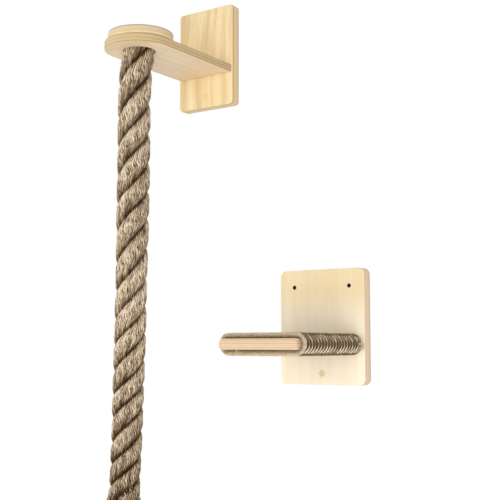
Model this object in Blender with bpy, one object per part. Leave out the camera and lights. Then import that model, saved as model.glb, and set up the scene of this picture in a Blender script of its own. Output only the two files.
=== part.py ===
"""Wall cat scratcher: a bracket with a hanging climbing rope, and a rope-wrapped step beside and below it.

Metres, +Z up. The wall is the plane Y = 0, and both units stand out of it towards -Y.
The origin is the centre of the rope bracket's wall plate, on its back face.
"""

import math

import bmesh
import bpy
from mathutils import Vector

MM = 0.001

# Gaps and counts that every piece shares
seat_gap = 0.3 * MM
cut_overrun = 2 * MM
edge_ease = 1.2 * MM
ease_steps = 2
corner_steps = 5
panel_circle_sides = 64
bore_sides = 40
small_circle_sides = 16

# Rope bracket: wall plate, arm and the cap disc over the rope
bracket_plate_width = 106 * MM
bracket_plate_height = 162 * MM
bracket_plate_thickness = 18 * MM
bracket_plate_corner = 6 * MM
arm_reach = 162 * MM
arm_width = 102 * MM
arm_thickness = 12 * MM
arm_underside_below_centre = 30 * MM
cap_diameter = 96 * MM
cap_thickness = 14 * MM
cap_setback = 3 * MM

# Climbing rope: its free route is given from the point where its axis meets the cap's underside
rope_diameter = 46 * MM
rope_bore_clearance = 1 * MM
rope_sides_resolution = 4
rope_point_spacing = 68 * MM
rope_route = [
    (0.0, 0.0, 0.0),
    (0.0, 0.0, -0.008),
    (-0.0022, -0.0015, -0.030),
    (-0.0045, -0.0031, -0.060),
    (-0.0053, -0.0036, -0.110),
    (-0.0053, -0.0036, -0.200),
    (-0.0058, -0.0040, -0.300),
    (-0.0067, -0.0046, -0.400),
    (-0.0081, -0.0055, -0.500),
    (-0.0097, -0.0066, -0.590),
    (-0.0125, -0.0086, -0.690),
]

# Step: wall plate and board, placed from the bracket's plate
step_offset_right = 212 * MM
step_offset_down = 434 * MM
step_plate_width = 140 * MM
step_plate_height = 166 * MM
step_plate_thickness = 18 * MM
step_plate_corner = 9 * MM
board_width = 123 * MM
board_depth = 168 * MM
board_thickness = 15 * MM
board_long_edge_radius = 6 * MM
board_below_centre = 25.5 * MM
board_bare_nose = 5 * MM

# Sisal cord wound round the board
wrap_cord_diameter = 7.2 * MM
wrap_least_gap = 0.45 * MM
wrap_clearance = 0.5 * MM
wrap_plate_gap = 0.6 * MM
wrap_tuck_bend = 6 * MM
wrap_start_side_share = -0.25
wrap_end_side_share = 0.21
wrap_corner_steps = 4
wrap_straight_point_share = 0.33
wrap_sides_resolution = 1

# Wall-screw holes and the wood plugs that close some of them
wall_hole_diameter = 5.5 * MM
wall_hole_side_inset = 24.5 * MM
wall_hole_top_inset = 25 * MM
wall_hole_bottom_inset = 16 * MM
plug_diameter = 9 * MM
plug_depth = 6 * MM
bracket_hole_side_inset = 21 * MM
bracket_hole_end_inset = 18 * MM

# Countersunk screws from the back of each plate into the arm and the board
panel_screw_diameter = 4 * MM
panel_screw_length = 55 * MM
panel_screw_head = 8 * MM
panel_screw_sink = 0.5 * MM
panel_screw_spread_share = 0.66
panel_screw_count = 3

# Countersunk screws that hold the cap disc on the arm
cap_screw_diameter = 3.5 * MM
cap_screw_length = 20 * MM
cap_screw_head = 7 * MM
cap_screw_sink = 0.4 * MM
cap_screw_count = 3
cap_screw_edge = 9 * MM

# Wafer-head screw down the rope's core
rope_screw_diameter = 8 * MM
rope_screw_length = 80 * MM
rope_screw_head = 20 * MM
rope_screw_head_height = 3.5 * MM
rope_screw_sink = 0.5 * MM
hex_key_width = 5 * MM
hex_key_depth = 2.2 * MM

# Shares of a screw's own sizes
head_rim_share = 0.12
tip_length_share = 1.6
recess_reach_share = 0.5
recess_width_share = 0.13
recess_depth_share = 0.24

# Wood dowels beside the screws, without their flutes
arm_dowel_diameter = 6 * MM
board_dowel_diameter = 8 * MM
dowel_length = 30 * MM
dowel_in_plate = 12 * MM
dowel_chamfer = 0.8 * MM
dowel_spread_share = 0.36

# Colours, linear red, green, blue and alpha
plywood_colour = (0.80, 0.62, 0.40, 1.0)
pale_plywood_colour = (0.86, 0.70, 0.48, 1.0)
plug_colour = (0.70, 0.50, 0.28, 1.0)
dowel_colour = (0.72, 0.54, 0.34, 1.0)
jute_colour = (0.36, 0.25, 0.15, 1.0)
sisal_colour = (0.42, 0.32, 0.19, 1.0)
steel_colour = (0.62, 0.62, 0.60, 1.0)

# Places worked out from the sizes above
rope_axis_y = -(bracket_plate_thickness + arm_reach)
arm_underside_z = -arm_underside_below_centre
arm_top_z = arm_underside_z + arm_thickness
cap_underside_z = arm_top_z + seat_gap
cap_top_z = cap_underside_z + cap_thickness
cap_centre = Vector((0.0, rope_axis_y + cap_setback, cap_underside_z))
rope_top = Vector((0.0, rope_axis_y, cap_underside_z - seat_gap))
rope_bore_radius = rope_diameter / 2 + rope_bore_clearance
step_centre = Vector((step_offset_right, 0.0, -step_offset_down))
board_centre_z = step_centre.z - board_below_centre
board_back_y = -(step_plate_thickness + seat_gap)
board_front_y = -(step_plate_thickness + board_depth)
FORWARD = Vector((0.0, -1.0, 0.0))
BACKWARD = Vector((0.0, 1.0, 0.0))
UPWARD = Vector((0.0, 0.0, 1.0))


def clear_scene():
    for item in list(bpy.data.objects):
        bpy.data.objects.remove(item, do_unlink=True)


def material(name, colour, roughness, metallic=0.0):
    made = bpy.data.materials.new(name)
    made.use_nodes = True
    shader = made.node_tree.nodes["Principled BSDF"]
    shader.inputs["Base Color"].default_value = colour
    shader.inputs["Roughness"].default_value = roughness
    shader.inputs["Metallic"].default_value = metallic
    made.diffuse_color = colour
    return made


def place(name, mesh, where, axis=UPWARD):
    """Links a mesh as an object whose local +Z points along axis."""
    item = bpy.data.objects.new(name, mesh)
    item.location = where
    item.rotation_mode = "QUATERNION"
    item.rotation_quaternion = UPWARD.rotation_difference(axis)
    bpy.context.collection.objects.link(item)
    return item


def dress(item, made_of):
    item.data.materials.append(made_of)
    return item


def as_cutter(item):
    item.hide_render = True
    item.display_type = "WIRE"
    return item


def cut(item, *cutters):
    for cutter in cutters:
        carve = item.modifiers.new("cut " + cutter.name, "BOOLEAN")
        carve.operation = "DIFFERENCE"
        carve.solver = "EXACT"
        carve.object = cutter


def mesh_from(name, build):
    mesh = bpy.data.meshes.new(name)
    work = bmesh.new()
    build(work)
    bmesh.ops.recalc_face_normals(work, faces=work.faces)
    work.to_mesh(mesh)
    work.free()
    return mesh


def prism(name, outline, thickness):
    """A mesh with the outline in local XY, reaching from Z = 0 up to the thickness."""

    def build(work):
        face = work.faces.new([work.verts.new((x, y, 0.0)) for x, y in outline])
        grown = bmesh.ops.extrude_face_region(work, geom=[face])
        top = [part for part in grown["geom"] if isinstance(part, bmesh.types.BMVert)]
        bmesh.ops.translate(work, vec=(0.0, 0.0, thickness), verts=top)

    return mesh_from(name, build)


def turned(name, profile, sides):
    """A mesh of the profile's (radius, height) points, top to bottom, turned round local Z."""

    def build(work):
        rings = []
        for radius, height in profile:
            if radius == 0.0:
                rings.append([work.verts.new((0.0, 0.0, height))])
                continue
            turns = [2 * math.pi * k / sides for k in range(sides)]
            spots = [(radius * math.cos(a), radius * math.sin(a), height) for a in turns]
            rings.append([work.verts.new(spot) for spot in spots])
        for upper, lower in zip(rings, rings[1:]):
            for k in range(sides):
                after = (k + 1) % sides
                corners = [upper[k % len(upper)], lower[k % len(lower)]]
                if len(lower) > 1:
                    corners.append(lower[after])
                if len(upper) > 1:
                    corners.append(upper[after])
                work.faces.new(corners)

    mesh = mesh_from(name, build)
    mesh.shade_smooth()
    mesh.set_sharp_from_angle(angle=math.radians(30))
    return mesh


def rounded_rectangle(width, height, radius):
    """Outline points of a centred rectangle with round corners, counter-clockwise."""
    outline = []
    corners = ((1, 1, 0), (-1, 1, 1), (-1, -1, 2), (1, -1, 3))
    for side_x, side_y, quarter in corners:
        centre_x = side_x * (width / 2 - radius)
        centre_y = side_y * (height / 2 - radius)
        for step in range(corner_steps + 1):
            turn = math.pi / 2 * (quarter + step / corner_steps)
            outline.append((centre_x + radius * math.cos(turn), centre_y + radius * math.sin(turn)))
    return outline


def arm_outline(half_width, back_y, round_centre_y):
    """Straight sides from the plate, closed by a half circle round the rope's axis."""
    outline = [(half_width, back_y), (-half_width, back_y)]
    steps = panel_circle_sides // 2
    for step in range(steps + 1):
        turn = math.pi + math.pi * step / steps
        outline.append((half_width * math.cos(turn), round_centre_y + half_width * math.sin(turn)))
    return outline


def circle_outline(radius):
    turns = [2 * math.pi * k / panel_circle_sides for k in range(panel_circle_sides)]
    return [(radius * math.cos(a), radius * math.sin(a)) for a in turns]


def cross_outline(reach, half_width):
    """A plus sign, for a screw's cross recess."""
    quarter = [(reach, -half_width), (reach, half_width), (half_width, half_width)]
    outline = []
    for turn in range(4):
        for x, y in quarter:
            for _ in range(turn):
                x, y = -y, x
            outline.append((x, y))
    return outline


def eased_panel(name, outline, thickness, made_of, where, axis=UPWARD):
    """A panel cut from sheet, with its sharp edges eased."""
    item = dress(place(name, prism(name, outline, thickness), where, axis), made_of)
    ease = item.modifiers.new("eased edges", "BEVEL")
    ease.width = edge_ease
    ease.segments = ease_steps
    ease.limit_method = "ANGLE"
    ease.angle_limit = math.radians(60)
    return item


def hole(name, radius, start, axis, depth):
    """A round cutter that runs from just outside start down to the depth, against axis."""
    profile = [(0.0, cut_overrun), (radius, cut_overrun), (radius, -depth), (0.0, -depth)]
    return as_cutter(place(name, turned(name, profile, small_circle_sides), start, axis))


def countersunk_profile(diameter, length, head, grow=0.0):
    """Head face at height 0, point at the bottom. grow widens it into its own clearance hole."""
    rim = head * head_rim_share
    taper = (head - diameter) / 2
    tip = diameter * tip_length_share
    radius = diameter / 2 + grow
    shank_end = -(length - tip)
    profile = [(head / 2 + grow, -rim), (radius, -(rim + taper)), (radius, shank_end), (0.0, -length - grow)]
    top = cut_overrun if grow else 0.0
    return [(0.0, top), (head / 2 + grow, top)] + profile


def countersunk_screw(name, where, axis, diameter, length, head, steel):
    """A screw with a cross recess, and the cutter that leaves its clearance. axis points out of its head."""
    profile = countersunk_profile(diameter, length, head)
    screw = dress(place(name, turned(name, profile, small_circle_sides), where, axis), steel)
    recess_depth = head * recess_depth_share
    recess_mesh = prism(
        name + "_recess",
        cross_outline(head / 2 * recess_reach_share, head / 2 * recess_width_share),
        recess_depth + cut_overrun,
    )
    cut(screw, as_cutter(place(name + "_recess", recess_mesh, where - axis * recess_depth, axis)))
    clearance = countersunk_profile(diameter, length, head, grow=seat_gap)
    seat_mesh = turned(name + "_seat", clearance, small_circle_sides)
    return as_cutter(place(name + "_seat", seat_mesh, where, axis))


def dowel(name, where, diameter, wood):
    """A dowel along Y, where is its middle, and the cutter that leaves its clearance."""
    radius = diameter / 2
    half = dowel_length / 2
    chamfered = [
        (0.0, half),
        (radius - dowel_chamfer, half),
        (radius, half - dowel_chamfer),
        (radius, dowel_chamfer - half),
        (radius - dowel_chamfer, -half),
        (0.0, -half),
    ]
    dress(place(name, turned(name, chamfered, small_circle_sides), where, FORWARD), wood)
    room = half + seat_gap
    plain = [(0.0, room), (radius + seat_gap, room), (radius + seat_gap, -room), (0.0, -room)]
    seat_mesh = turned(name + "_seat", plain, small_circle_sides)
    return as_cutter(place(name + "_seat", seat_mesh, where, FORWARD))


def plug(name, where, wood):
    """A flush wood plug in a plate's front face, and the cutter of its pocket."""
    radius = plug_diameter / 2
    profile = [(0.0, 0.0), (radius, 0.0), (radius, -plug_depth), (0.0, -plug_depth)]
    dress(place(name, turned(name, profile, small_circle_sides), where, FORWARD), wood)
    return hole(name + "_pocket", radius + seat_gap, where, FORWARD, plug_depth + seat_gap)


def wall_holes(prefix, spots, plate_thickness):
    """Cutters of the through holes for wall screws, one at each (x, z) spot."""
    made = []
    for place_name, (x, z) in spots.items():
        front = Vector((x, -plate_thickness, z))
        name = f"{prefix}_wall_hole_{place_name}"
        made.append(hole(name, wall_hole_diameter / 2, front, FORWARD, plate_thickness + cut_overrun))
    return made


def panel_fixings(prefix, centre_x, joint_z, width, plate_thickness, dowel_diameter, steel, wood):
    """Screws and dowels that join a horizontal panel to its wall plate. Returns their cutters."""
    made = []
    for k in range(panel_screw_count):
        side = 2 * k / (panel_screw_count - 1) - 1
        x = centre_x + side * width / 2 * panel_screw_spread_share
        head_face = Vector((x, -panel_screw_sink, joint_z))
        made.append(
            countersunk_screw(
                f"{prefix}_screw_{k + 1}",
                head_face,
                BACKWARD,
                panel_screw_diameter,
                panel_screw_length,
                panel_screw_head,
                steel,
            )
        )
    middle_y = -plate_thickness + dowel_in_plate - dowel_length / 2
    for name, side in (("left", -1), ("right", 1)):
        x = centre_x + side * width / 2 * dowel_spread_share
        made.append(dowel(f"{prefix}_dowel_{name}", Vector((x, middle_y, joint_z)), dowel_diameter, wood))
    return made


def smooth_route(route, spacing):
    """Points read from a smooth curve through the route's own points."""
    points = [Vector(p) for p in route]
    ends = [2 * points[0] - points[1]] + points + [2 * points[-1] - points[-2]]
    dense = []
    fine_steps = 12
    for before, start, end, after in zip(ends, ends[1:], ends[2:], ends[3:]):
        for step in range(fine_steps):
            t = step / fine_steps
            bend = 2 * start + (end - before) * t
            bend += (2 * before - 5 * start + 4 * end - after) * t**2
            bend += (3 * start - before - 3 * end + after) * t**3
            dense.append(bend / 2)
    dense.append(points[-1])
    lengths = [0.0]
    for near, far in zip(dense, dense[1:]):
        lengths.append(lengths[-1] + (far - near).length)
    count = max(2, round(lengths[-1] / spacing))
    picked = []
    for k in range(count + 1):
        goal = lengths[-1] * k / count
        index = min(range(len(lengths)), key=lambda i: abs(lengths[i] - goal))
        picked.append(dense[index])
    return picked


def tube(name, points, radius, resolution):
    """A curve object: one POLY spline with a round bevel and closed ends."""
    path = bpy.data.curves.new(name, "CURVE")
    path.dimensions = "3D"
    path.bevel_depth = radius
    path.bevel_resolution = resolution
    path.use_fill_caps = True
    spline = path.splines.new("POLY")
    spline.points.add(len(points) - 1)
    for spot, point in zip(spline.points, points):
        spot.co = (*point, 1.0)
    return place(name, path, Vector((0.0, 0.0, 0.0)))


def make_bracket(wood, plug_wood, dowel_wood, steel):
    """Wall plate, arm with the rope's bore, and the cap disc over it."""
    plate_outline = rounded_rectangle(bracket_plate_width, bracket_plate_height, bracket_plate_corner)
    plate = eased_panel(
        "bracket_wall_plate",
        plate_outline,
        bracket_plate_thickness,
        wood,
        Vector((0.0, 0.0, 0.0)),
        FORWARD,
    )
    arm = eased_panel(
        "bracket_arm",
        arm_outline(arm_width / 2, -(bracket_plate_thickness + seat_gap), rope_axis_y),
        arm_thickness,
        wood,
        Vector((0.0, 0.0, arm_underside_z)),
    )
    bore_start = Vector((0.0, rope_axis_y, arm_top_z))
    bore_profile = [
        (0.0, cut_overrun),
        (rope_bore_radius, cut_overrun),
        (rope_bore_radius, -(arm_thickness + cut_overrun)),
        (0.0, -(arm_thickness + cut_overrun)),
    ]
    bore = as_cutter(place("rope_bore", turned("rope_bore", bore_profile, bore_sides), bore_start))
    joint_z = arm_underside_z + arm_thickness / 2
    fixings = panel_fixings(
        "arm",
        0.0,
        joint_z,
        arm_width,
        bracket_plate_thickness,
        arm_dowel_diameter,
        steel,
        dowel_wood,
    )
    x = bracket_plate_width / 2 - bracket_hole_side_inset
    top = bracket_plate_height / 2 - bracket_hole_end_inset
    spots = {"top_left": (-x, top), "top_right": (x, top), "bottom": (0.0, -top)}
    pockets = []
    for place_name, (spot_x, spot_z) in spots.items():
        front = Vector((spot_x, -bracket_plate_thickness, spot_z))
        pockets.append(plug(f"bracket_plug_{place_name}", front, plug_wood))
    cut(plate, *fixings, *pockets, *wall_holes("bracket", spots, bracket_plate_thickness))
    cut(arm, bore, *fixings)
    return arm


def make_cap(arm, wood, steel):
    """Cap disc on the arm's round end, its three screws, and the long screw into the rope."""
    cap = eased_panel("cap_disc", circle_outline(cap_diameter / 2), cap_thickness, wood, cap_centre)
    screw_circle = cap_diameter / 2 - cap_screw_edge
    for k in range(cap_screw_count):
        turn = math.pi / 2 + 2 * math.pi * k / cap_screw_count
        across = Vector((math.cos(turn), math.sin(turn), 0.0)) * screw_circle
        head_face = cap_centre + across + UPWARD * (cap_thickness - cap_screw_sink)
        seat = countersunk_screw(
            f"cap_screw_{k + 1}",
            head_face,
            UPWARD,
            cap_screw_diameter,
            cap_screw_length,
            cap_screw_head,
            steel,
        )
        cut(cap, seat)
        cut(arm, seat)
    cut(cap, make_rope_screw(steel))


def make_rope_screw(steel):
    """Wafer-head screw through the cap disc into the rope's core, and the cutter of its seat."""
    radius = rope_screw_diameter / 2
    head_radius = rope_screw_head / 2
    tip = rope_screw_diameter * tip_length_share
    head_face = Vector((0.0, rope_axis_y, cap_top_z - rope_screw_sink))
    profile = [
        (0.0, 0.0),
        (head_radius - dowel_chamfer, 0.0),
        (head_radius, -dowel_chamfer),
        (head_radius, -rope_screw_head_height),
        (radius, -rope_screw_head_height),
        (radius, -(rope_screw_length - tip)),
        (0.0, -rope_screw_length),
    ]
    screw = dress(place("rope_screw", turned("rope_screw", profile, small_circle_sides), head_face), steel)
    corners = [2 * math.pi * k / 6 for k in range(6)]
    key_radius = hex_key_width / 2 / math.cos(math.pi / 6)
    hexagon = [(key_radius * math.cos(a), key_radius * math.sin(a)) for a in corners]
    key_mesh = prism("rope_screw_key", hexagon, hex_key_depth + cut_overrun)
    cut(screw, as_cutter(place("rope_screw_key", key_mesh, head_face - UPWARD * hex_key_depth)))
    under_head = -(rope_screw_head_height + seat_gap)
    seat_profile = [
        (0.0, cut_overrun),
        (head_radius + seat_gap, cut_overrun),
        (head_radius + seat_gap, under_head),
        (radius + seat_gap, under_head),
        (radius + seat_gap, -(rope_screw_length + seat_gap)),
        (0.0, -(rope_screw_length + seat_gap)),
    ]
    seat_mesh = turned("rope_screw_seat", seat_profile, small_circle_sides)
    return as_cutter(place("rope_screw_seat", seat_mesh, head_face))


def make_rope(jute):
    """The climbing rope as one round tube, bored at its top end for the long screw."""
    route = [rope_top + Vector(p) for p in rope_route]
    points = route[:1] + smooth_route(route[1:], rope_point_spacing)
    guide = as_cutter(tube("rope_guide", points, rope_diameter / 2, rope_sides_resolution))
    bpy.context.view_layer.update()
    mesh = bpy.data.meshes.new_from_object(guide.evaluated_get(bpy.context.evaluated_depsgraph_get()))
    mesh.name = "climbing_rope"
    mesh.materials.clear()
    rope = dress(place("climbing_rope", mesh, Vector((0.0, 0.0, 0.0))), jute)
    cut(rope, bpy.data.objects["rope_screw_seat"])
    length = sum((far - near).length for near, far in zip(points, points[1:]))
    print(f"climbing rope length {length * 1000:.1f} mm")


def make_step(wood, plug_wood, dowel_wood, steel):
    """The step's wall plate, with two open screw holes and a plugged one, and the board."""
    plate_outline = rounded_rectangle(step_plate_width, step_plate_height, step_plate_corner)
    plate = eased_panel("step_wall_plate", plate_outline, step_plate_thickness, wood, step_centre, FORWARD)
    section = rounded_rectangle(board_width, board_thickness, board_long_edge_radius)
    board = eased_panel(
        "step_board",
        section,
        board_back_y - board_front_y,
        wood,
        Vector((step_centre.x, board_back_y, board_centre_z)),
        FORWARD,
    )
    fixings = panel_fixings(
        "board",
        step_centre.x,
        board_centre_z,
        board_width,
        step_plate_thickness,
        board_dowel_diameter,
        steel,
        dowel_wood,
    )
    x = step_plate_width / 2 - wall_hole_side_inset
    top = step_centre.z + step_plate_height / 2 - wall_hole_top_inset
    bottom = step_centre.z - step_plate_height / 2 + wall_hole_bottom_inset
    spots = {
        "top_left": (step_centre.x - x, top),
        "top_right": (step_centre.x + x, top),
        "bottom": (step_centre.x, bottom),
    }
    front = Vector((step_centre.x, -step_plate_thickness, bottom))
    pocket = plug("step_plug_bottom", front, plug_wood)
    cut(plate, *fixings, pocket, *wall_holes("step", spots, step_plate_thickness))
    cut(board, *fixings)
    return board


def wrap_section():
    """Corner centres, and the half sizes, of the path that the cord's centre takes round the board."""
    offset = wrap_cord_diameter / 2 + wrap_clearance
    return board_width / 2 + offset, board_thickness / 2 + offset, board_long_edge_radius + offset


def wrap_loop_points():
    """One loop as (x, z, share of the way round), from the middle of the underside, towards +X."""
    half_width, half_height, radius = wrap_section()
    flat = half_width - radius
    points = [(flat * wrap_straight_point_share, -half_height)]
    quarters = ((1, -1, -1), (1, 1, 0), (-1, 1, 1), (-1, -1, 2))
    for side_x, side_z, quarter in quarters:
        for step in range(wrap_corner_steps + 1):
            turn = math.pi / 2 * (quarter + step / wrap_corner_steps)
            x = side_x * flat + radius * math.cos(turn)
            z = side_z * (half_height - radius) + radius * math.sin(turn)
            points.append((x, z))
        if side_x == side_z == 1:
            points.append((flat * wrap_straight_point_share, half_height))
            points.append((-flat * wrap_straight_point_share, half_height))
    points.append((-flat * wrap_straight_point_share, -half_height))
    ways = [0.0]
    ring = [(0.0, -half_height)] + points + [(0.0, -half_height)]
    for near, far in zip(ring, ring[1:]):
        ways.append(ways[-1] + math.dist(near, far))
    return [(x, z, way / ways[-1]) for (x, z), way in zip(points, ways[1:])], ways[-1]


def wrap_path():
    """The whole winding: out of one hole in the underside, round and round, and into another."""
    loop, way_round = wrap_loop_points()
    radius = wrap_cord_diameter / 2
    start_x = wrap_start_side_share * board_width
    end_x = wrap_end_side_share * board_width
    first_y = board_front_y + board_bare_nose + radius
    last_y = -(step_plate_thickness + wrap_plate_gap + radius)
    underside = -wrap_section()[1]
    start_share = start_x / way_round
    end_share = end_x / way_round
    extra = end_share - start_share
    turns = int((last_y - first_y) / (wrap_cord_diameter + wrap_least_gap) - extra)
    pitch = (last_y - first_y) / (turns + extra)

    def spot(x, z, wound):
        return Vector((x, first_y + pitch * (wound - start_share), z))

    bend_steps = 3
    straight = wrap_cord_diameter
    entry = Vector((start_x - wrap_tuck_bend, first_y, underside + wrap_tuck_bend + straight))
    leaving = Vector((end_x + wrap_tuck_bend, last_y, underside + wrap_tuck_bend + straight))
    path = [entry]
    for step in range(bend_steps + 1):
        turn = math.pi / 2 * step / bend_steps
        x = start_x - wrap_tuck_bend * math.cos(turn)
        path.append(Vector((x, first_y, underside + wrap_tuck_bend * (1 - math.sin(turn)))))
    for number in range(turns + 1):
        for x, z, share in loop:
            wound = number + share
            if start_share < wound < turns + end_share:
                path.append(spot(x, z, wound))
    for step in range(bend_steps, -1, -1):
        turn = math.pi / 2 * step / bend_steps
        x = end_x + wrap_tuck_bend * math.cos(turn)
        path.append(Vector((x, last_y, underside + wrap_tuck_bend * (1 - math.sin(turn)))))
    path.append(leaving)
    shift = Vector((step_centre.x, 0.0, board_centre_z))
    report_wrap(path, turns, pitch, way_round, len(loop))
    return [shift + point for point in path], shift + entry, shift + leaving


def report_wrap(path, turns, pitch, way_round, points_in_loop):
    """Prints the winding's count, pitch, length and its least gap to itself, measured on its points."""
    length = sum((far - near).length for near, far in zip(path, path[1:]))
    half_loop = points_in_loop // 2
    least = min(
        (far - near).length
        for index, near in enumerate(path)
        for far in path[index + half_loop : index + 2 * points_in_loop]
    )
    print(f"winding: {turns} whole turns at {pitch * 1000:.2f} mm, {points_in_loop} points in a turn")
    print(f"winding: one turn {way_round * 1000:.0f} mm, cord {length:.2f} m")
    print(f"winding: least gap to itself {(least - wrap_cord_diameter) * 1000:.2f} mm")


def make_wrap(board, sisal):
    """The sisal cord wound round the board, both ends tucked up into holes in the underside."""
    points, entry, leaving = wrap_path()
    wrap = tube("step_rope_wrap", points, wrap_cord_diameter / 2, wrap_sides_resolution)
    dress(wrap, sisal)
    underside_z = board_centre_z - board_thickness / 2
    hole_radius = wrap_cord_diameter / 2 + wrap_clearance
    for name, end in (("wrap_hole_start", entry), ("wrap_hole_end", leaving)):
        depth = end.z - underside_z + seat_gap
        flare = wrap_tuck_bend / 2
        profile = [
            (0.0, cut_overrun),
            (hole_radius + flare + cut_overrun, cut_overrun),
            (hole_radius, -flare),
            (hole_radius, -depth),
            (0.0, -depth),
        ]
        mouth = Vector((end.x, end.y, underside_z))
        mesh = turned(name, profile, small_circle_sides)
        cut(board, as_cutter(place(name, mesh, mouth, -UPWARD)))


def main():
    clear_scene()
    plywood = material("plywood", plywood_colour, 0.6)
    pale_plywood = material("pale_plywood", pale_plywood_colour, 0.6)
    plug_wood = material("plug_wood", plug_colour, 0.65)
    dowel_wood = material("dowel_wood", dowel_colour, 0.7)
    jute = material("jute_rope", jute_colour, 0.95)
    sisal = material("sisal_cord", sisal_colour, 0.9)
    steel = material("screw_steel", steel_colour, 0.35, metallic=1.0)
    arm = make_bracket(plywood, plug_wood, dowel_wood, steel)
    make_cap(arm, plywood, steel)
    make_rope(jute)
    board = make_step(pale_plywood, plug_wood, dowel_wood, steel)
    make_wrap(board, sisal)


main()
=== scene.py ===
"""Looks of the wall cat scratcher: camera, light, wood, the laid climbing rope and the sisal winding.

Metres, +Z up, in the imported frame: the wall is the plane Y = 0 and the object stands out towards -Y.
"""

import math

import bpy
import numpy as np
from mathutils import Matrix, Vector


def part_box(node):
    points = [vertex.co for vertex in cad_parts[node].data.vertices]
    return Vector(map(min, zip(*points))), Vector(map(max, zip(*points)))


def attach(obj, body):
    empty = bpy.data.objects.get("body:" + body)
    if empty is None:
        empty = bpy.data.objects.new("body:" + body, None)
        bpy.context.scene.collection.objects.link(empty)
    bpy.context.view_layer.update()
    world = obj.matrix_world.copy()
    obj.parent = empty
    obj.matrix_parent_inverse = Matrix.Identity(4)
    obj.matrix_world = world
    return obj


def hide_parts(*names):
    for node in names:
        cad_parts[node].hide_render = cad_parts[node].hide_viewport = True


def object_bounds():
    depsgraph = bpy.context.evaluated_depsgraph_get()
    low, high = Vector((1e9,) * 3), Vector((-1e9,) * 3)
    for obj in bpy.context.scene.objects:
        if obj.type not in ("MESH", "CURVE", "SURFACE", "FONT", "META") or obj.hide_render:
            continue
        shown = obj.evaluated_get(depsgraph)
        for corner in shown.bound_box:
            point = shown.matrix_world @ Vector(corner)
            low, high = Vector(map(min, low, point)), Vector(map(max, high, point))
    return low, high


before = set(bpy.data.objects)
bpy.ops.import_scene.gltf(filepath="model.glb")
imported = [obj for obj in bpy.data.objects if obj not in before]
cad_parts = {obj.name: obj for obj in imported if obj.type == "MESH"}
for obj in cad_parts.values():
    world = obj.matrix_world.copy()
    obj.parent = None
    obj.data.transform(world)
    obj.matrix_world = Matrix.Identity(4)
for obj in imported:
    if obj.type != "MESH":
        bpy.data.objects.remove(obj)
cad_low, cad_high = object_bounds()

MM = 0.001
BODY = "root"

# Camera, fitted to the photograph's 500 x 500 frame
camera_spot = Vector((911.6, -1222.8, -462.7)) * MM
camera_yaw = math.radians(34.40)
camera_pitch = math.radians(5.76)
camera_focal_pixels = 958.5
camera_nearest = 0.05
picture_width_pixels = 500
sensor_width = 36.0

# Light: each lamp's place and size in metres, its watts and its colour
ambient_strength = 0.64
lamps = {
    "key": (Vector((1.1, -2.1, -0.35)), 1.5, 13.5, (1.0, 1.0, 1.0)),
    "left": (Vector((-1.9, -1.1, -0.2)), 1.0, 12.0, (0.94, 0.98, 1.0)),
    "low": (Vector((0.5, -1.25, -1.0)), 0.9, 6.9, (1.0, 1.0, 1.0)),
}
lamp_aim = Vector((0.08, -0.1, -0.3))
ambient_colour = (1.0, 0.985, 0.96, 1.0)
background_colour = (1.0, 1.0, 1.0, 1.0)
floor_drop = 0.45
floor_size = 3.4
floor_colour = (0.9, 0.9, 0.9)
floor_glow = 0.25

# Climbing rope: route from part.py, below the point where its axis meets the cap's underside
rope_diameter = 46 * MM
rope_length = 690.4 * MM
rope_route = [
    (0.0, 0.0, 0.0),
    (0.0, 0.0, -0.008),
    (-0.0022, -0.0015, -0.030),
    (-0.0045, -0.0031, -0.060),
    (-0.0053, -0.0036, -0.110),
    (-0.0053, -0.0036, -0.200),
    (-0.0058, -0.0040, -0.300),
    (-0.0067, -0.0046, -0.400),
    (-0.0081, -0.0055, -0.500),
    (-0.0097, -0.0066, -0.590),
    (-0.0125, -0.0086, -0.690),
]
rope_ring_step = 2.5 * MM
rope_path_step = 10 * MM
girth_drops = np.array((0.0, 13.0, 34.0, 250.0, 320.0, 380.0, 410.0, 620.0, 650.0, 690.0)) * MM
girth_shares = np.array((0.95, 0.955, 1.01, 1.0, 0.965, 0.95, 0.96, 0.905, 0.925, 1.06))
tone_drops = np.array((10.0, 60.0, 142.0, 256.0, 392.0, 543.0, 642.0)) * MM
tone_shades = np.array((0.22, 0.12, -0.02, 0.05, -0.08, 0.18, 0.46))
strand_count = 3
strand_orbit = 10.0 * MM
strand_radius = 13.0 * MM
strand_half_width = 15.6 * MM
strand_fullness = 0.8
strand_wedge = math.radians(59.4)
wedge_knee_share = 0.86
yarns_per_strand = 28
yarn_height = 1.5 * MM
yarn_wander = 0.28 * MM
yarn_wander_rows = 7
yarn_unevenness = 0.12 * MM
yarn_unevenness_rows = 2
yarn_turn_share = 0.95
yarn_tone = 0.22
yarn_profile = (0.0, 0.75, 1.0, 0.75)
yarn_profile_middle = 0.7

# Painted shade on the rope in the grooves, under each strand and between yarns,
# and a painted highlight along each strand.
# Places across a strand run from -1 to 1.
# Painted shade in the grooves and under each strand
groove_shade_start = 0.915
groove_shade_reach = 0.11
under_shade_start = 0.25
under_shade_reach = 0.65
under_shade_power = 1.3
under_shade = 0.66
# Painted highlight along each strand: its place across the strand, width and strength
painted_highlight_place = 0.45
painted_highlight_width = 0.35
painted_highlight = 0.40
# Painted shade between yarns
yarn_gap_shade = 0.62

# Where the grooves between strands pass the rope's front, measured down from its top
groove_front = math.radians(48.5)
groove_drops = (-26, 26, 79, 125, 167, 211, 249, 292, 338, 377)
groove_drops += (417, 452, 491, 521, 554, 589, 618, 650, 682, 714)
groove_smoothing = 24 * MM
groove_samples = 2000

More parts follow.
